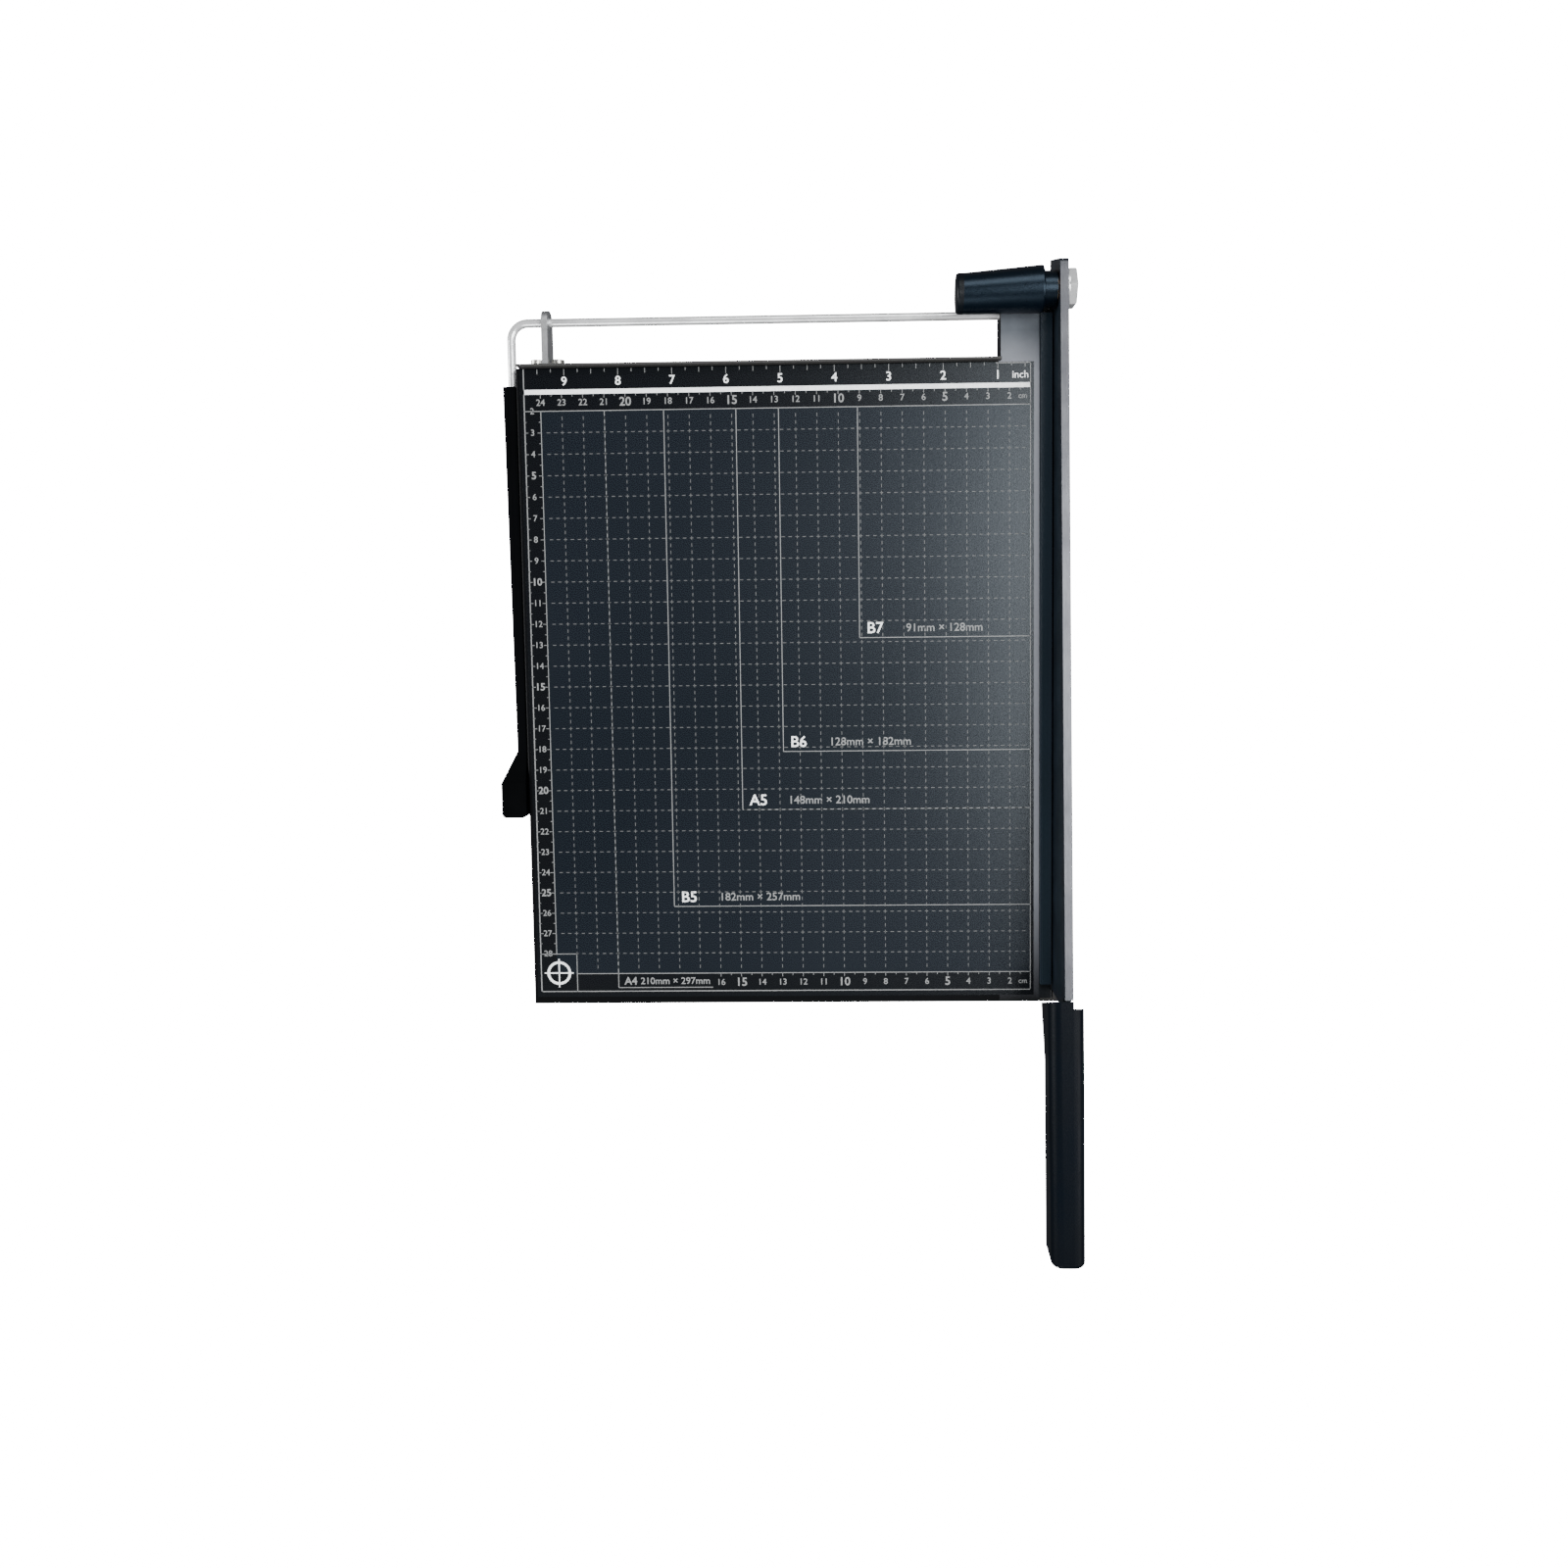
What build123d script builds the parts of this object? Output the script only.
"""Guillotine paper cutter: a pressed steel board, a swinging blade on a sprung pivot, and a U-shaped
paper clamp. Every place is worked out from three lines on the board: the cutting plane (x), the face of
the paper stop (y) and the top of the board (z)."""
from build123d import *
import os

os.makedirs("parts", exist_ok=True)

# ---- Driving dimensions, mm ----
# Board: one sheet of steel with folded skirts, measured from the cutting plane and the paper stop.
board_width = 251.4
board_depth = 305.0
sheet = 1.2
skirt_depth = 24.0
flange_width = 20.0
fold_radius = 0.9
stiffener_width = 20.0
stiffener_height = 10.0
stiffener_nut_gap = 4.0
stiffener_rows = (-0.295 * board_depth, -0.69 * board_depth)

# Tongue: the rear right part of the board that carries the pivot.
tongue_width = 18.0
tongue_depth = 40.0
tongue_skirt = 16.0

# Rubber feet.
foot_radius = 9.0
foot_height = 6.0
foot_inset = 13.0
foot_recess_radius = 5.0
foot_recess_depth = 3.0
foot_edge_radius = 1.2

# Fixed lower blade along the right edge of the board.
fixed_blade_width = 6.0
fixed_blade_height = 16.0
fixed_blade_rear = 12.0
fixed_blade_front_inset = 2.0
blade_screw_count = 5
blade_screw_radius = 2.5
blade_screw_head_radius = 4.6
blade_screw_inset = 22.0
blade_screw_drop = 8.0

# Paper stop strip.
stop_height = 5.0
stop_drop = 14.0
stop_inset = 1.6
stop_rivet_count = 5
stop_rivet_radius = 2.0
stop_rivet_head_radius = 3.4
stop_rivet_head = 0.9
stop_rivet_inset_left = 35.0
stop_rivet_inset_right = 28.0

# Pivot of the blade arm: centre behind the paper stop and above the board.
pivot_back = 29.4
barrel_radius_right = 10.6
pivot_height = barrel_radius_right + 0.9
barrel_radius_left = 9.0
barrel_left_shift = 1.5
barrel_edge_radius = 0.8
barrel_gap = 6.2
barrel_length = 36.3
cap_thickness = 3.3
cap_spigot_length = 3.0
cap_spigot_wall = 1.2
cap_edge_radius = 1.2
spring_bore_radius = 6.7
spring_bore_depth = 20.5
foot_block_width = 16.0
foot_block_depth = 15.4
foot_block_corner = 2.0

# Pivot bolt and what sits on it.
bolt_radius = 5.0
bolt_thread_radius = 3.0
bolt_head_flats = 3.2 * bolt_radius
bolt_head_height = 3.4
bolt_head_chamfer = 0.6
thread_overrun = 0.5
washer_radius = bolt_radius + 3.6
washer_thickness = 1.0
bush_radius = bolt_radius + 1.6
boss_radius = bush_radius + 1.4
spring_wire_radius = 0.6
spring_mean_radius = 5.4
spring_turns = 5
spring_seat_thickness = 1.2
lock_nut_flats = 10.0
lock_nut_height = 4.5

# Blade arm: a flat bar whose spine rises towards the handle and whose cutting edge is slightly convex.
arm_thickness = 3.8
arm_tail = 11.2
arm_heel = 18.6
arm_heel_drop = 9.8
arm_tail_radius = 3.0
spine_height_at_stop = 22.6
spine_slope = 0.0565
blade_front = board_depth - 6.0
arm_front = blade_front - 7.0
edge_drop_rear = 9.0
edge_drop_middle = 14.0
edge_drop_front = 6.0
edge_rear = 14.0
edge_bevel = 2.4
tang_length = 100.0
tang_height = 11.0
tang_drop = 6.0

# Handle grip: widths at its two ends; top and base heights at its start, its waist and its end.
grip_start = arm_front + 0.4
grip_length = 121.8
grip_waist = 32.0
grip_width_start = 16.4
grip_width_end = 15.6
grip_top_start = 39.5
grip_top_end = 47.6
grip_base_start = 5.0
grip_base_waist = 20.0
grip_base_end = 22.0
grip_offset = 0.9
grip_corner_radius = 5.5
grip_end_radius = 2.0
grip_start_slant = 0.33
grip_start_step = 3.3
grip_screw_radius = 2.0
grip_screw_head_radius = 3.6
grip_screw_head = 2.2
grip_screw_places = (28.0, 80.0)
nut_pocket_radius = 4.3
tang_end_gap = 1.0

# Closed-blade stop under the arm.
stop_pin_radius = 2.5
stop_sleeve_radius = 4.0
stop_sleeve_length = 4.6
stop_pin_place = blade_front - 7.0

# Paper clamp: press bar, cross rod and lever.
press_bar_width = 5.2
press_bar_height = 3.0
press_bar_lift = 0.2
press_bar_rear = 21.0
press_bar_front = board_depth - 9.5
press_leg_depth = 6.0
press_eye_radius = 4.5
rod_radius = 2.0
rod_back = 22.5
rod_drop = 8.0
rod_bend = 8.0
rod_end_gap = 0.9
lever_gap = 0.8
lever_rear = 8.0
lever_width_rear = 5.8
lever_width_front = 4.2
lever_top_drop = 1.5
lever_height = 11.0
lever_flare_start = 0.593 * board_depth
lever_flare_end = 0.643 * board_depth
lever_front = 0.698 * board_depth
pad_reach = board_width + 12.6
pad_rise = 3.0
pad_corner_radius = 2.0
rod_grip_depth = 14.0
rod_bracket_place = board_width - 13.4
rod_bracket_thickness = 3.0
rod_bracket_flange = 16.0
rod_bracket_height = 11.0
rod_bracket_top_drop = 2.5
rod_bracket_screw_offset = 5.0
pin_radius = 0.9

# Small fasteners.
small_screw_radius = 2.0
small_screw_head_radius = 3.8
small_screw_head = 2.4
small_nut_flats = 7.0
small_nut_height = 3.2
housing_screw_radius = 2.0
housing_screw_head_radius = 3.4
housing_screw_head = 2.8
housing_screw_spread = 4.6
housing_screw_depth = 4.4
blade_nut_flats = 8.0
blade_nut_height = 4.0
screw_overrun = 1.0
bracket_screw_head_radius = 3.0

# Clearances: radial running clearance, hole clearance, side gap between moving faces.
running_clearance = 0.05
hole_clearance = 0.2
side_gap = 0.3
seat_clearance = 0.1

# ---- Places worked out from the sizes above ----
# The origin is at the middle of the whole cutter's footprint, on the table.
arm_outer = side_gap + arm_thickness
grip_centre = side_gap + arm_thickness / 2 - grip_offset
grip_right = grip_centre + grip_width_start / 2
washer_outer = arm_outer + washer_thickness
bolt_end = washer_outer + bolt_head_height
overall_right = max(grip_right, bolt_end)
overall_front = grip_start + grip_length
overall_back = pivot_back + arm_heel
cut_x = (pad_reach - overall_right) / 2
stop_y = (overall_front - overall_back) / 2
top_z = skirt_depth + foot_height
board_right = -fixed_blade_width
skirt_inner = board_right - sheet
barrel_left = barrel_gap + barrel_length
rod_x = -(board_width + lever_gap) - lever_width_rear / 2


def board_point(x, y, z):
    """A point given from the cutting plane, the paper stop and the board's top."""
    return (cut_x + x, stop_y + y, top_z + z)


def top_plane(z):
    """Horizontal plane: local x and y run along the cutter's own x and y."""
    return Plane(board_point(0, 0, z), x_dir=(1, 0, 0), z_dir=(0, 0, 1))


def side_plane(x):
    """Plane facing +x: local x runs backwards (+y), local y runs up."""
    return Plane(board_point(x, 0, 0), x_dir=(0, 1, 0), z_dir=(1, 0, 0))


def front_plane(y):
    """Plane facing the user (-y): local x runs right, local y runs up."""
    return Plane(board_point(0, y, 0), x_dir=(1, 0, 0), z_dir=(0, -1, 0))


def spine_z(y):
    """Height of the arm's spine above the board at a place y."""
    return spine_height_at_stop - spine_slope * y


def edge_z(y):
    """Height of the arm's convex cutting edge at a place y, close to its arc."""
    along = (y - edge_rear) / (-blade_front - edge_rear)
    straight = -edge_drop_rear + (edge_drop_rear - edge_drop_front) * along
    sag = edge_drop_middle - (edge_drop_rear + edge_drop_front) / 2
    return straight - 4 * sag * along * (1 - along)


def tang_middle(y):
    """Height of the tang's middle line at a place y."""
    return tang_top - tang_height / 2 - spine_slope * (y + arm_front)


def spread(first, last, count):
    """Evenly spaced places from first to last."""
    return [first + (last - first) * index / (count - 1) for index in range(count)]


tongue_left = board_right - tongue_width
blade_screw_rows = spread(-blade_screw_inset, -(board_depth - blade_screw_inset), blade_screw_count)
stop_rivet_columns = spread(
    tongue_left - stop_rivet_inset_right, -board_width + stop_rivet_inset_left, stop_rivet_count
)
foot_columns = (-board_width + foot_inset, skirt_inner - foot_inset + sheet)
foot_rows = (-board_depth + foot_inset + sheet, -foot_inset - sheet)
bracket_screw_columns = (
    -rod_bracket_place - rod_bracket_screw_offset,
    -rod_bracket_place + rod_bracket_screw_offset,
)
housing_middle = -barrel_gap - foot_block_width / 2
housing_screw_rows = (pivot_back - housing_screw_spread, pivot_back + housing_screw_spread)
stop_pin_z = edge_z(-stop_pin_place) - side_gap - stop_sleeve_radius

# ---- Base board: top, folded skirts, foot flanges and the tongue, all from one sheet ----
with BuildPart() as base_board:
    with BuildSketch(top_plane(0)) as outline:
        with BuildLine():
            Polyline(
                (-board_width, -board_depth),
                (board_right, -board_depth),
                (board_right, tongue_depth),
                (tongue_left, tongue_depth),
                (tongue_left, 0),
                (-board_width, 0),
                close=True,
            )
        make_face()
    extrude(amount=-skirt_depth)
    with BuildSketch(top_plane(-sheet)):
        add(outline.sketch_local)
        offset(amount=-sheet, kind=Kind.INTERSECTION, mode=Mode.REPLACE)
    extrude(amount=-skirt_depth, mode=Mode.SUBTRACT)
    with BuildSketch(top_plane(-skirt_depth)):
        with Locations((board_right - tongue_width / 2, tongue_depth / 2 + seat_clearance / 2)):
            Rectangle(tongue_width + sheet, tongue_depth - seat_clearance)
    extrude(amount=skirt_depth - tongue_skirt, mode=Mode.SUBTRACT)
    with BuildSketch(top_plane(-skirt_depth)):
        for flange_x in (-board_width + sheet + flange_width / 2, skirt_inner - flange_width / 2):
            with Locations((flange_x, -board_depth / 2)):
                Rectangle(flange_width, board_depth - 2 * sheet)
    extrude(amount=sheet)
    top_edges = base_board.edges().filter_by(lambda e: abs(e.center().Z - top_z) < 0.01)
    fold_edges = top_edges.filter_by(lambda e: e.center().X < cut_x + board_right - 0.1)
    fillet(fold_edges.filter_by(lambda e: e.center().Y < stop_y - 0.1), radius=fold_radius)
    with BuildSketch(top_plane(-skirt_depth)):
        with Locations([(x, y) for x in foot_columns for y in foot_rows]):
            Circle(small_screw_radius + hole_clearance)
    extrude(amount=sheet, mode=Mode.SUBTRACT)
    with BuildSketch(side_plane(board_right)):
        with Locations([(y, -blade_screw_drop) for y in blade_screw_rows]):
            Circle(blade_screw_radius + hole_clearance)
        with Locations((-stop_pin_place, stop_pin_z)):
            Circle(stop_pin_radius)
    extrude(amount=-2 * sheet, mode=Mode.SUBTRACT)
    with BuildSketch(front_plane(0)):
        with Locations([(x, -stop_drop / 2) for x in stop_rivet_columns]):
            Circle(stop_rivet_radius)
        with Locations([(x, -rod_drop) for x in bracket_screw_columns]):
            Circle(small_screw_radius + hole_clearance)
    extrude(amount=2 * sheet, mode=Mode.SUBTRACT)
    with BuildSketch(side_plane(board_right + sheet)):
        with Locations((rod_back, -rod_drop)):
            Circle(rod_radius + running_clearance)
    extrude(amount=-tongue_width - 2 * sheet, mode=Mode.SUBTRACT)
    with BuildSketch(top_plane(0)):
        with Locations([(housing_middle, y) for y in housing_screw_rows]):
            Circle(housing_screw_radius + hole_clearance)
    extrude(amount=-2 * sheet, mode=Mode.SUBTRACT)
base_board.part.label = "base_board"
export_step(base_board.part, "parts/base_board.step")

# ---- Stiffening channels, spot-welded under the board ----
stiffener_left = -board_width + sheet + seat_clearance
stiffener_right = skirt_inner - blade_nut_height - stiffener_nut_gap
for stiffener_name, row in zip(("stiffener_rear", "stiffener_front"), stiffener_rows):
    with BuildPart() as stiffener:
        with BuildSketch(side_plane(stiffener_left)):
            with Locations((row, -sheet - stiffener_height / 2)):
                Rectangle(stiffener_width, stiffener_height)
            with Locations((row, -2 * sheet - stiffener_height / 2)):
                Rectangle(stiffener_width - 2 * sheet, stiffener_height, mode=Mode.SUBTRACT)
        extrude(amount=stiffener_right - stiffener_left)
    stiffener.part.label = stiffener_name
    export_step(stiffener.part, f"parts/{stiffener_name}.step")

# ---- Rubber feet, each with a recess for its screw head ----
foot_corners = {
    "foot_front_left": (foot_columns[0], foot_rows[0]),
    "foot_rear_left": (foot_columns[0], foot_rows[1]),
    "foot_front_right": (foot_columns[1], foot_rows[0]),
    "foot_rear_right": (foot_columns[1], foot_rows[1]),
}
for foot_name, (foot_x, foot_y) in foot_corners.items():
    with BuildPart() as foot:
        with BuildSketch(top_plane(-top_z)):
            with Locations((foot_x, foot_y)):
                Circle(foot_radius)
        extrude(amount=foot_height)
        fillet(foot.edges().filter_by(GeomType.CIRCLE).group_by(Axis.Z)[0], radius=foot_edge_radius)
        with BuildSketch(top_plane(-top_z)):
            with Locations((foot_x, foot_y)):
                Circle(foot_recess_radius)
        extrude(amount=foot_recess_depth, mode=Mode.SUBTRACT)
        with BuildSketch(top_plane(-top_z)):
            with Locations((foot_x, foot_y)):
                Circle(small_screw_radius + seat_clearance)
        extrude(amount=foot_height, mode=Mode.SUBTRACT)
    foot.part.label = foot_name
    export_step(foot.part, f"parts/{foot_name}.step")

# ---- Foot screws: head in the recess, shank up through the flange into a nut ----
foot_screw_end = -skirt_depth + sheet + small_nut_height + screw_overrun
with BuildPart() as foot_screws:
    with BuildSketch(top_plane(-top_z + foot_recess_depth - small_screw_head)):
        with Locations([(x, y) for x in foot_columns for y in foot_rows]):
            Circle(small_screw_head_radius)
    extrude(amount=small_screw_head)
    with BuildSketch(top_plane(-top_z + foot_recess_depth)):
        with Locations([(x, y) for x in foot_columns for y in foot_rows]):
            Circle(small_screw_radius)
    extrude(amount=foot_screw_end + top_z - foot_recess_depth)
foot_screws.part.label = "foot_screws"
export_step(foot_screws.part, "parts/foot_screws.step")

with BuildPart() as foot_nuts:
    with BuildSketch(top_plane(-skirt_depth + sheet)):
        with Locations([(x, y) for x in foot_columns for y in foot_rows]):
            RegularPolygon(small_nut_flats / 2, 6, major_radius=False)
            Circle(small_screw_radius + running_clearance, mode=Mode.SUBTRACT)
    extrude(amount=small_nut_height)
foot_nuts.part.label = "foot_nuts"
export_step(foot_nuts.part, "parts/foot_nuts.step")

# ---- Fixed lower blade: its outer face is the cutting plane ----
fixed_blade_front = -(board_depth - fixed_blade_front_inset)
with BuildPart() as fixed_blade:
    with BuildSketch(side_plane(board_right)):
        with Locations(((fixed_blade_front + fixed_blade_rear) / 2, -fixed_blade_height / 2)):
            Rectangle(fixed_blade_rear - fixed_blade_front, fixed_blade_height)
        with Locations((-stop_pin_place, stop_pin_z)):
            Circle(stop_pin_radius, mode=Mode.SUBTRACT)
    extrude(amount=fixed_blade_width)
    for row in blade_screw_rows:
        with Locations(Location(board_point(0, row, -blade_screw_drop), (0, 90, 0))):
            CounterSinkHole(
                blade_screw_radius + hole_clearance,
                blade_screw_head_radius + hole_clearance,
                counter_sink_angle=90,
            )
fixed_blade.part.label = "fixed_blade"
export_step(fixed_blade.part, "parts/fixed_blade.step")

head_cone = blade_screw_head_radius - blade_screw_radius
head_middle = -seat_clearance - head_cone / 2
blade_screw_end = skirt_inner - blade_nut_height - screw_overrun
with BuildPart() as fixed_blade_screws:
    with BuildSketch(side_plane(blade_screw_end)):
        with Locations([(y, -blade_screw_drop) for y in blade_screw_rows]):
            Circle(blade_screw_radius)
    extrude(amount=-blade_screw_end - 1)
    for row in blade_screw_rows:
        with Locations(Location(board_point(head_middle, row, -blade_screw_drop), (0, 90, 0))):
            Cone(blade_screw_radius, blade_screw_head_radius, head_cone)
fixed_blade_screws.part.label = "fixed_blade_screws"
export_step(fixed_blade_screws.part, "parts/fixed_blade_screws.step")

with BuildPart() as fixed_blade_nuts:
    with BuildSketch(side_plane(skirt_inner)):
        with Locations([(y, -blade_screw_drop) for y in blade_screw_rows]):
            RegularPolygon(blade_nut_flats / 2, 6, major_radius=False)
            Circle(blade_screw_radius + running_clearance, mode=Mode.SUBTRACT)
    extrude(amount=-blade_nut_height)
fixed_blade_nuts.part.label = "fixed_blade_nuts"
export_step(fixed_blade_nuts.part, "parts/fixed_blade_nuts.step")

# ---- Stop pin and rubber sleeve that catch the closed blade arm ----
with BuildPart() as stop_pin:
    with BuildSketch(side_plane(skirt_inner - sheet)):
        with Locations((-stop_pin_place, stop_pin_z)):
            Circle(stop_pin_radius)
    extrude(amount=sheet - skirt_inner + side_gap + stop_sleeve_length)
stop_pin.part.label = "stop_pin"
export_step(stop_pin.part, "parts/stop_pin.step")

with BuildPart() as stop_sleeve:
    with BuildSketch(side_plane(side_gap)):
        with Locations((-stop_pin_place, stop_pin_z)):
            Circle(stop_sleeve_radius)
            Circle(stop_pin_radius, mode=Mode.SUBTRACT)
    extrude(amount=stop_sleeve_length)
stop_sleeve.part.label = "stop_sleeve"
export_step(stop_sleeve.part, "parts/stop_sleeve.step")

# ---- Paper stop: a strip riveted to the rear skirt, standing above the board ----
stop_left = -board_width + stop_inset
stop_right = tongue_left - seat_clearance / 2
with BuildPart() as paper_stop:
    with BuildSketch(front_plane(sheet)):
        with Locations(((stop_left + stop_right) / 2, (stop_height - stop_drop) / 2)):
            Rectangle(stop_right - stop_left, stop_height + stop_drop)
        with Locations([(x, -stop_drop / 2) for x in stop_rivet_columns]):
            Circle(stop_rivet_radius, mode=Mode.SUBTRACT)
        with Locations([(x, -rod_drop) for x in bracket_screw_columns]):
            Circle(small_screw_radius + hole_clearance, mode=Mode.SUBTRACT)
    extrude(amount=sheet)
    fillet(paper_stop.edges().filter_by(Axis.X).group_by(Axis.Z)[-1], radius=sheet / 3)
paper_stop.part.label = "paper_stop"
export_step(paper_stop.part, "parts/paper_stop.step")

with BuildPart() as stop_rivets:
    with BuildSketch(front_plane(sheet + stop_rivet_head)):
        with Locations([(x, -stop_drop / 2) for x in stop_rivet_columns]):
            Circle(stop_rivet_head_radius)
    extrude(amount=stop_rivet_head)
    with BuildSketch(front_plane(sheet)):
        with Locations([(x, -stop_drop / 2) for x in stop_rivet_columns]):
            Circle(stop_rivet_radius)
    extrude(amount=2 * sheet)
    with BuildSketch(front_plane(-sheet)):
        with Locations([(x, -stop_drop / 2) for x in stop_rivet_columns]):
            Circle(stop_rivet_head_radius)
    extrude(amount=stop_rivet_head)
stop_rivets.part.label = "stop_rivets"
export_step(stop_rivets.part, "parts/stop_rivets.step")

# ---- Pivot housing: a tapered barrel cast with a boss towards the arm and a foot on the tongue ----
# The barrel's front line runs straight across and its back tapers, so its left end sits forward.
barrel_left_back = pivot_back - barrel_left_shift
with BuildPart() as pivot_housing:
    with BuildSketch(side_plane(-barrel_gap)):
        with Locations((pivot_back, pivot_height)):
            Circle(barrel_radius_right)
    with BuildSketch(side_plane(-barrel_left)):
        with Locations((barrel_left_back, pivot_height)):
            Circle(barrel_radius_left)
    loft()
    fillet(pivot_housing.edges().group_by(Axis.X)[-1], radius=barrel_edge_radius)
    with BuildSketch(side_plane(-barrel_gap)):
        with Locations((pivot_back, pivot_height)):
            Circle(boss_radius)
    extrude(amount=barrel_gap - side_gap)
    with BuildSketch(top_plane(0)):
        with Locations((housing_middle, pivot_back)):
            RectangleRounded(foot_block_width, foot_block_depth, foot_block_corner)
    extrude(amount=pivot_height)
    with BuildSketch(side_plane(0)):
        with Locations((pivot_back, pivot_height)):
            Circle(bush_radius)
    extrude(amount=-barrel_left, mode=Mode.SUBTRACT)
    with BuildSketch(side_plane(-barrel_left)):
        with Locations((pivot_back, pivot_height)):
            Circle(spring_bore_radius)
    extrude(amount=spring_bore_depth, mode=Mode.SUBTRACT)
    with BuildSketch(top_plane(0)):
        with Locations([(housing_middle, y) for y in housing_screw_rows]):
            Circle(housing_screw_radius + running_clearance)
    extrude(amount=housing_screw_depth, mode=Mode.SUBTRACT)
pivot_housing.part.label = "pivot_housing"
export_step(pivot_housing.part, "parts/pivot_housing.step")

with BuildPart() as housing_screws:
    with BuildSketch(top_plane(-sheet - housing_screw_head)):
        with Locations([(housing_middle, y) for y in housing_screw_rows]):
            Circle(housing_screw_head_radius)
    extrude(amount=housing_screw_head)
    with BuildSketch(top_plane(-sheet)):
        with Locations([(housing_middle, y) for y in housing_screw_rows]):
            Circle(housing_screw_radius)
    extrude(amount=sheet + housing_screw_depth - hole_clearance)
housing_screws.part.label = "housing_screws"
export_step(housing_screws.part, "parts/housing_screws.step")

with BuildPart() as housing_cap:
    with BuildSketch(side_plane(-barrel_left)):
        with Locations((barrel_left_back, pivot_height)):
            Circle(barrel_radius_left)
    extrude(amount=-cap_thickness)
    fillet(housing_cap.edges().group_by(Axis.X)[0], radius=cap_edge_radius)
    with BuildSketch(side_plane(-barrel_left)):
        with Locations((pivot_back, pivot_height)):
            Circle(spring_bore_radius - seat_clearance)
            Circle(spring_bore_radius - cap_spigot_wall, mode=Mode.SUBTRACT)
    extrude(amount=cap_spigot_length)
housing_cap.part.label = "housing_cap"
export_step(housing_cap.part, "parts/housing_cap.step")

# ---- Pivot bush: bronze, in the barrel's right end, standing out to the cutting plane ----
bush_left = -barrel_left + spring_bore_depth
with BuildPart() as pivot_bush:
    with BuildSketch(side_plane(bush_left)):
        with Locations((pivot_back, pivot_height)):
            Circle(bush_radius)
            Circle(bolt_radius + running_clearance, mode=Mode.SUBTRACT)
    extrude(amount=-bush_left)
pivot_bush.part.label = "pivot_bush"
export_step(pivot_bush.part, "parts/pivot_bush.step")

# ---- Pivot bolt: hexagon head outside the arm, shank in the bush, thread for the lock nut ----
thread_end = -barrel_left + cap_spigot_length + thread_overrun
thread_start = bush_left - thread_overrun
lock_nut_left = thread_end + thread_overrun
with BuildPart() as pivot_bolt:
    with BuildSketch(side_plane(washer_outer)):
        with Locations((pivot_back, pivot_height)):
            RegularPolygon(bolt_head_flats / 2, 6, major_radius=False, rotation=30)
    extrude(amount=bolt_head_height)
    chamfer(pivot_bolt.edges().group_by(Axis.X)[-1], length=bolt_head_chamfer)
    with BuildSketch(side_plane(washer_outer)):
        with Locations((pivot_back, pivot_height)):
            Circle(bolt_radius)
    extrude(amount=thread_start - washer_outer)
    with BuildSketch(side_plane(thread_start)):
        with Locations((pivot_back, pivot_height)):
            Circle(bolt_thread_radius)
    extrude(amount=thread_end - thread_start)
pivot_bolt.part.label = "pivot_bolt"
export_step(pivot_bolt.part, "parts/pivot_bolt.step")

with BuildPart() as pivot_washer:
    with BuildSketch(side_plane(arm_outer)):
        with Locations((pivot_back, pivot_height)):
            Circle(washer_radius)
            Circle(bolt_radius + running_clearance, mode=Mode.SUBTRACT)
    extrude(amount=washer_thickness)
pivot_washer.part.label = "pivot_washer"
export_step(pivot_washer.part, "parts/pivot_washer.step")

with BuildPart() as lock_nut:
    with BuildSketch(side_plane(lock_nut_left)):
        with Locations((pivot_back, pivot_height)):
            RegularPolygon(lock_nut_flats / 2, 6, major_radius=False)
            Circle(bolt_thread_radius + running_clearance, mode=Mode.SUBTRACT)
    extrude(amount=lock_nut_height)
lock_nut.part.label = "lock_nut"
export_step(lock_nut.part, "parts/lock_nut.step")

spring_seat_left = lock_nut_left + lock_nut_height
spring_seat_right = spring_seat_left + spring_seat_thickness
with BuildPart() as spring_seat:
    with BuildSketch(side_plane(spring_seat_left)):
        with Locations((pivot_back, pivot_height)):
            Circle(spring_bore_radius - 2 * side_gap)
            Circle(bolt_thread_radius + running_clearance, mode=Mode.SUBTRACT)
    extrude(amount=spring_seat_thickness)
spring_seat.part.label = "spring_seat"
export_step(spring_seat.part, "parts/spring_seat.step")

# ---- Pivot spring: pulls the arm against the fixed blade ----
spring_start = spring_seat_right + spring_wire_radius
spring_end = bush_left - side_gap - spring_wire_radius
spring_length = spring_end - spring_start
with BuildPart() as pivot_spring:
    with BuildLine() as coil:
        Helix(
            spring_length / spring_turns,
            spring_length,
            spring_mean_radius,
            center=board_point(spring_start, pivot_back, pivot_height),
            direction=(1, 0, 0),
        )
    with BuildSketch(Plane(origin=coil.line @ 0, z_dir=coil.line % 0)):
        Circle(spring_wire_radius)
    sweep(path=coil.line, is_frenet=True)
pivot_spring.part.label = "pivot_spring"
export_step(pivot_spring.part, "parts/pivot_spring.step")

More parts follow.
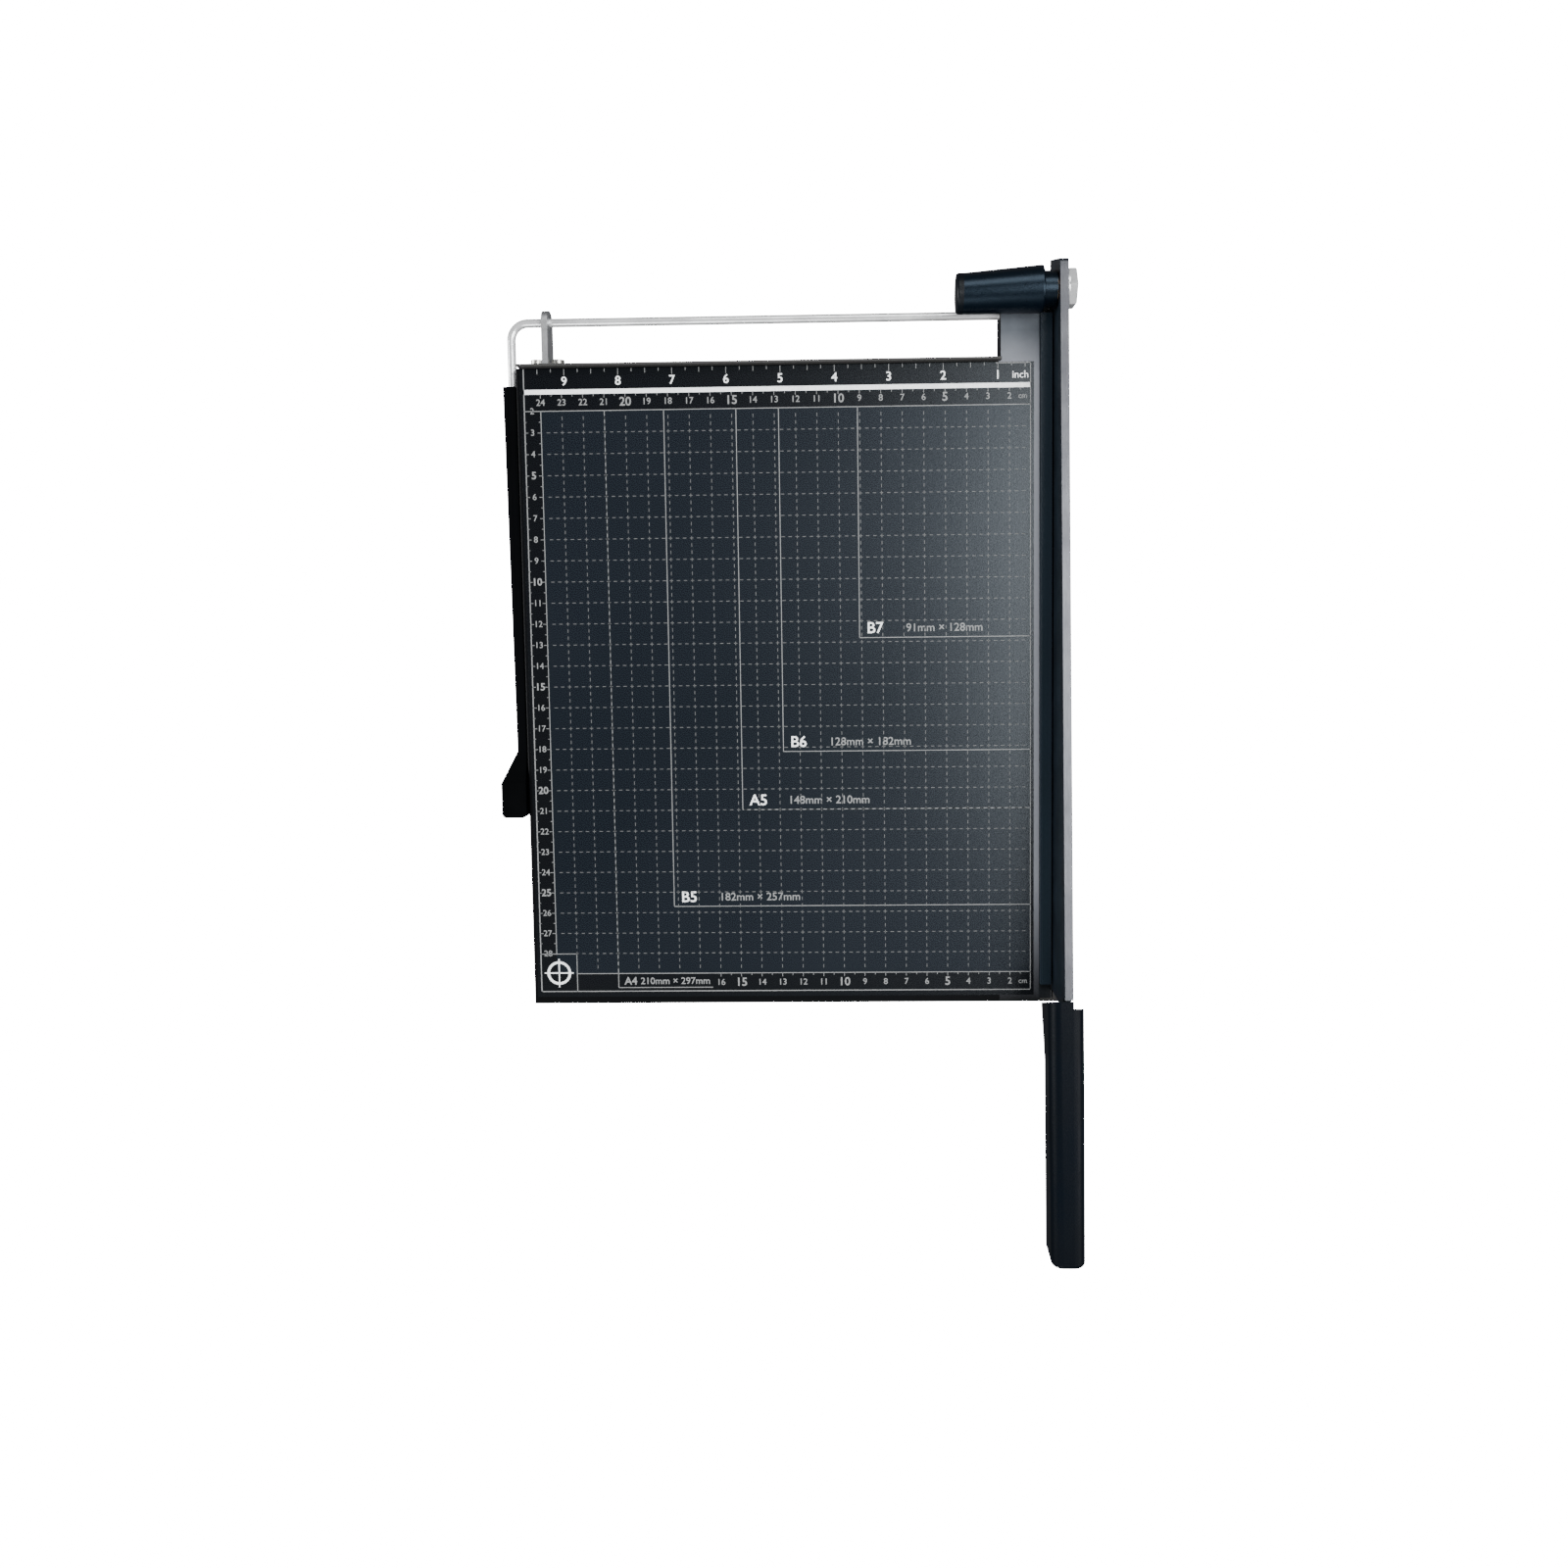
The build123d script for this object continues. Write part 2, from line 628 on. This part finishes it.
# ---- Blade arm: flat bar with a slanted tail, a convex cutting edge and a tang for the grip ----
tail_end = pivot_back + arm_tail
heel_end = pivot_back + arm_heel
tang_rise = spine_slope * tang_length
tang_top = spine_z(-arm_front) - tang_drop
tang_foot = tang_top - tang_height + spine_slope * (blade_front - arm_front)
grip_hole_rows = [-grip_start - place for place in grip_screw_places]
with BuildPart() as blade_arm:
    with BuildSketch(side_plane(side_gap)) as arm_profile:
        with BuildLine():
            Line((tail_end, spine_z(tail_end)), (-arm_front, spine_z(-arm_front)))
            Line((-arm_front, spine_z(-arm_front)), (-arm_front, tang_top))
            Line((-arm_front, tang_top), (-arm_front - tang_length, tang_top + tang_rise))
            Line(
                (-arm_front - tang_length, tang_top + tang_rise),
                (-arm_front - tang_length, tang_top + tang_rise - tang_height),
            )
            Line((-arm_front - tang_length, tang_top + tang_rise - tang_height), (-blade_front, tang_foot))
            Line((-blade_front, tang_foot), (-blade_front, -edge_drop_front))
            ThreePointArc(
                (-blade_front, -edge_drop_front),
                ((edge_rear - blade_front) / 2, -edge_drop_middle),
                (edge_rear, -edge_drop_rear),
            )
            Line((edge_rear, -edge_drop_rear), (heel_end, -arm_heel_drop))
            Line((heel_end, -arm_heel_drop), (tail_end, spine_z(tail_end)))
        make_face()
        tail_corner = arm_profile.vertices().sort_by(Axis.X)[-2]
        fillet(tail_corner, radius=arm_tail_radius)
        with Locations((pivot_back, pivot_height)):
            Circle(bolt_radius + running_clearance, mode=Mode.SUBTRACT)
    extrude(amount=arm_thickness)
    outer_edges = blade_arm.edges().filter_by(lambda e: abs(e.center().X - cut_x - arm_outer) < 0.01)
    cutting_edge = outer_edges.sort_by(Axis.Z)[0]
    chamfer(cutting_edge, length=edge_bevel)
    with BuildSketch(side_plane(side_gap)):
        with Locations([(y, tang_middle(y)) for y in grip_hole_rows]):
            Circle(grip_screw_radius + hole_clearance)
    extrude(amount=arm_thickness, mode=Mode.SUBTRACT)
blade_arm.part.label = "blade_arm"
export_step(blade_arm.part, "parts/blade_arm.step")

# ---- Handle grip: a moulding, deep at its start and slotted for the tang, with captive nuts ----
grip_rise = (grip_top_end - grip_top_start) / grip_length
grip_sections = (
    (0, grip_width_start, grip_base_start),
    (grip_waist, grip_width_start, grip_base_waist),
    (grip_length, grip_width_end, grip_base_end),
)
slot_left = side_gap - seat_clearance
slot_right = arm_outer + seat_clearance
slot_end = -arm_front - tang_length - tang_end_gap
cut_top = grip_top_start + 1
cut_reach = -grip_start + 2
grip_start_cuts = (
    (-grip_width_start, grip_width_start + slot_right, -grip_start),
    (slot_right, grip_width_start, -grip_start - grip_start_step),
)
screw_seat = grip_centre + grip_width_end / 2 - grip_screw_head
nut_face = slot_left - small_nut_height
with BuildPart() as handle_grip:
    for place, width, base in grip_sections:
        height = grip_top_start + grip_rise * place - base
        with BuildSketch(front_plane(-grip_start - place)):
            with Locations((grip_centre, base + height / 2)):
                RectangleRounded(width, height, grip_corner_radius)
    loft(ruled=True)
    fillet(handle_grip.edges().group_by(Axis.Y)[0], radius=grip_end_radius)
    for cut_from, cut_width, cut_start in grip_start_cuts:
        with BuildSketch(side_plane(cut_from)):
            with BuildLine():
                Polyline(
                    (cut_reach, cut_top),
                    (cut_start + grip_start_slant, cut_top),
                    (cut_start - grip_start_slant * grip_top_start, 0),
                    (cut_reach, 0),
                    close=True,
                )
            make_face()
        extrude(amount=cut_width, mode=Mode.SUBTRACT)
    with BuildSketch(side_plane(slot_left)):
        with BuildLine():
            Polyline(
                (cut_reach, tang_top - spine_slope * (cut_reach + arm_front) + seat_clearance),
                (slot_end, tang_top + tang_rise + 2 * seat_clearance),
                (slot_end, tang_top + tang_rise - tang_height - seat_clearance),
                (-blade_front - seat_clearance, tang_foot - seat_clearance),
                (-blade_front - seat_clearance, 0),
                (cut_reach, 0),
                close=True,
            )
        make_face()
    extrude(amount=slot_right - slot_left, mode=Mode.SUBTRACT)
    with BuildSketch(side_plane(nut_face)):
        with Locations([(y, tang_middle(y)) for y in grip_hole_rows]):
            Circle(nut_pocket_radius)
    extrude(amount=small_nut_height, mode=Mode.SUBTRACT)
    with BuildSketch(side_plane(nut_face)):
        with Locations([(y, tang_middle(y)) for y in grip_hole_rows]):
            Circle(grip_screw_radius + seat_clearance)
    extrude(amount=2 * grip_width_start, mode=Mode.SUBTRACT)
    with BuildSketch(side_plane(screw_seat)):
        with Locations([(y, tang_middle(y)) for y in grip_hole_rows]):
            Circle(grip_screw_head_radius + seat_clearance)
    extrude(amount=grip_width_start, mode=Mode.SUBTRACT)
handle_grip.part.label = "handle_grip"
export_step(handle_grip.part, "parts/handle_grip.step")

with BuildPart() as handle_screws:
    with BuildSketch(side_plane(screw_seat)):
        with Locations([(y, tang_middle(y)) for y in grip_hole_rows]):
            Circle(grip_screw_head_radius)
    extrude(amount=grip_screw_head - 2 * seat_clearance)
    with BuildSketch(side_plane(screw_seat)):
        with Locations([(y, tang_middle(y)) for y in grip_hole_rows]):
            Circle(grip_screw_radius)
    extrude(amount=nut_face + seat_clearance - screw_seat)
handle_screws.part.label = "handle_screws"
export_step(handle_screws.part, "parts/handle_screws.step")

with BuildPart() as handle_nuts:
    with BuildSketch(side_plane(nut_face + seat_clearance)):
        with Locations([(y, tang_middle(y)) for y in grip_hole_rows]):
            RegularPolygon(small_nut_flats / 2, 6, major_radius=False)
            Circle(grip_screw_radius + running_clearance, mode=Mode.SUBTRACT)
    extrude(amount=small_nut_height - 2 * seat_clearance)
handle_nuts.part.label = "handle_nuts"
export_step(handle_nuts.part, "parts/handle_nuts.step")

# ---- Press bar: lies along the fixed blade, with a leg down to the cross rod ----
press_left = -side_gap - seat_clearance - press_bar_width - seat_clearance
press_top = press_bar_lift + press_bar_height
with BuildPart() as press_bar:
    with BuildSketch(side_plane(press_left)):
        with BuildLine():
            Polyline(
                (-press_bar_front, press_bar_lift),
                (press_bar_rear - press_leg_depth, press_bar_lift),
                (press_bar_rear - press_leg_depth, -rod_drop),
                (press_bar_rear, -rod_drop),
                (press_bar_rear, press_top),
                (-press_bar_front, press_top),
                close=True,
            )
        make_face()
        with Locations((rod_back, -rod_drop)):
            Circle(press_eye_radius)
            Circle(rod_radius + seat_clearance, mode=Mode.SUBTRACT)
    extrude(amount=press_bar_width)
    with BuildSketch(top_plane(0)):
        with Locations((press_left + press_bar_width / 2, rod_back)):
            Circle(pin_radius + running_clearance)
    extrude(amount=-2 * rod_drop, mode=Mode.SUBTRACT)
press_bar.part.label = "press_bar"
export_step(press_bar.part, "parts/press_bar.step")

with BuildPart() as rod_pin:
    with BuildSketch(top_plane(-rod_drop - press_eye_radius + seat_clearance)):
        with Locations((press_left + press_bar_width / 2, rod_back)):
            Circle(pin_radius)
    extrude(amount=2 * press_eye_radius - 2 * seat_clearance)
rod_pin.part.label = "rod_pin"
export_step(rod_pin.part, "parts/rod_pin.step")

# ---- Cross rod: runs behind the board, bent forward into the lever ----
rod_front = -lever_rear - rod_grip_depth
with BuildPart() as clamp_rod:
    with BuildLine(top_plane(-rod_drop)) as rod_path:
        FilletPolyline(
            (-rod_end_gap, rod_back),
            (rod_x, rod_back),
            (rod_x, rod_front),
            radius=rod_bend,
        )
    with BuildSketch(side_plane(-rod_end_gap)):
        with Locations((rod_back, -rod_drop)):
            Circle(rod_radius)
    sweep(path=rod_path.line)
    with BuildSketch(top_plane(0)):
        with Locations((press_left + press_bar_width / 2, rod_back)):
            Circle(pin_radius + running_clearance)
    extrude(amount=-2 * rod_drop, mode=Mode.SUBTRACT)
    with BuildSketch(side_plane(rod_x - lever_width_rear)):
        with Locations((-lever_rear - rod_grip_depth / 2, -rod_drop)):
            Circle(pin_radius + running_clearance)
    extrude(amount=2 * lever_width_rear, mode=Mode.SUBTRACT)
clamp_rod.part.label = "clamp_rod"
export_step(clamp_rod.part, "parts/clamp_rod.step")

# ---- Clamp lever: black bar beside the board, flared into a thumb pad ----
lever_right = -board_width - lever_gap
lever_bottom = -lever_top_drop - lever_height
with BuildPart() as clamp_lever:
    with BuildSketch(top_plane(lever_bottom)) as lever_plan:
        with BuildLine():
            Polyline(
                (lever_right, -lever_rear),
                (lever_right - lever_width_rear, -lever_rear),
                (lever_right - lever_width_front, -lever_flare_start),
                (-pad_reach, -lever_flare_end),
                (-pad_reach, -lever_front),
                (lever_right, -lever_front),
                close=True,
            )
        make_face()
        pad_corners = lever_plan.vertices().group_by(Axis.Y)[0]
        fillet(pad_corners, radius=pad_corner_radius)
    extrude(amount=lever_height + pad_rise)
    with BuildSketch(side_plane(-pad_reach)):
        with BuildLine():
            Polyline(
                (-lever_rear, -lever_top_drop),
                (-lever_flare_start, -lever_top_drop),
                (-lever_flare_end, pad_rise - lever_top_drop),
                (-lever_rear, pad_rise - lever_top_drop),
                close=True,
            )
        make_face()
    extrude(amount=pad_reach + lever_right, mode=Mode.SUBTRACT)
    with BuildSketch(front_plane(-lever_rear)):
        with Locations((rod_x, -rod_drop)):
            Circle(rod_radius + seat_clearance)
    extrude(amount=rod_grip_depth + seat_clearance, mode=Mode.SUBTRACT)
    with BuildSketch(side_plane(lever_right)):
        with Locations((-lever_rear - rod_grip_depth / 2, -rod_drop)):
            Circle(pin_radius + running_clearance)
    extrude(amount=-lever_width_rear, mode=Mode.SUBTRACT)
clamp_lever.part.label = "clamp_lever"
export_step(clamp_lever.part, "parts/clamp_lever.step")

with BuildPart() as lever_pin:
    with BuildSketch(side_plane(lever_right - seat_clearance)):
        with Locations((-lever_rear - rod_grip_depth / 2, -rod_drop)):
            Circle(pin_radius)
    extrude(amount=2 * seat_clearance - lever_width_rear)
lever_pin.part.label = "lever_pin"
export_step(lever_pin.part, "parts/lever_pin.step")

# ---- Rod bracket: carries the left end of the cross rod behind the paper stop ----
bracket_middle = -rod_bracket_top_drop - rod_bracket_height / 2
with BuildPart() as rod_bracket:
    with BuildSketch(front_plane(sheet + rod_bracket_thickness / 2)):
        with Locations((-rod_bracket_place, bracket_middle)):
            Rectangle(rod_bracket_flange, rod_bracket_height)
        with Locations([(x, -rod_drop) for x in bracket_screw_columns]):
            Circle(small_screw_radius + hole_clearance, mode=Mode.SUBTRACT)
    extrude(amount=rod_bracket_thickness / 2)
    with BuildSketch(side_plane(-rod_bracket_place - rod_bracket_thickness / 2)):
        with BuildLine():
            Polyline(
                (sheet, -rod_bracket_top_drop),
                (rod_back, -rod_bracket_top_drop),
                (rod_back, -rod_bracket_top_drop - rod_bracket_height),
                (sheet, -rod_bracket_top_drop - rod_bracket_height),
                close=True,
            )
        make_face()
        with Locations((rod_back, -rod_drop)):
            Circle(rod_bracket_height / 2)
            Circle(rod_radius + running_clearance, mode=Mode.SUBTRACT)
    extrude(amount=rod_bracket_thickness)
rod_bracket.part.label = "rod_bracket"
export_step(rod_bracket.part, "parts/rod_bracket.step")

bracket_screw_seat = sheet + rod_bracket_thickness / 2
bracket_screw_end = -sheet - small_nut_height - screw_overrun
with BuildPart() as bracket_screws:
    with BuildSketch(front_plane(bracket_screw_seat)):
        with Locations([(x, -rod_drop) for x in bracket_screw_columns]):
            Circle(bracket_screw_head_radius)
    extrude(amount=-small_screw_head)
    with BuildSketch(front_plane(bracket_screw_seat)):
        with Locations([(x, -rod_drop) for x in bracket_screw_columns]):
            Circle(small_screw_radius)
    extrude(amount=bracket_screw_seat - bracket_screw_end)
bracket_screws.part.label = "bracket_screws"
export_step(bracket_screws.part, "parts/bracket_screws.step")

with BuildPart() as bracket_nuts:
    with BuildSketch(front_plane(-sheet)):
        with Locations([(x, -rod_drop) for x in bracket_screw_columns]):
            RegularPolygon(small_nut_flats / 2, 6, major_radius=False)
            Circle(small_screw_radius + running_clearance, mode=Mode.SUBTRACT)
    extrude(amount=small_nut_height)
bracket_nuts.part.label = "bracket_nuts"
export_step(bracket_nuts.part, "parts/bracket_nuts.step")

print("cutting plane x, paper stop y, board top z:", cut_x, stop_y, top_z)
print("arm pivot y, z:", stop_y + pivot_back, top_z + pivot_height)
print("clamp rod y, z:", stop_y + rod_back, top_z - rod_drop)
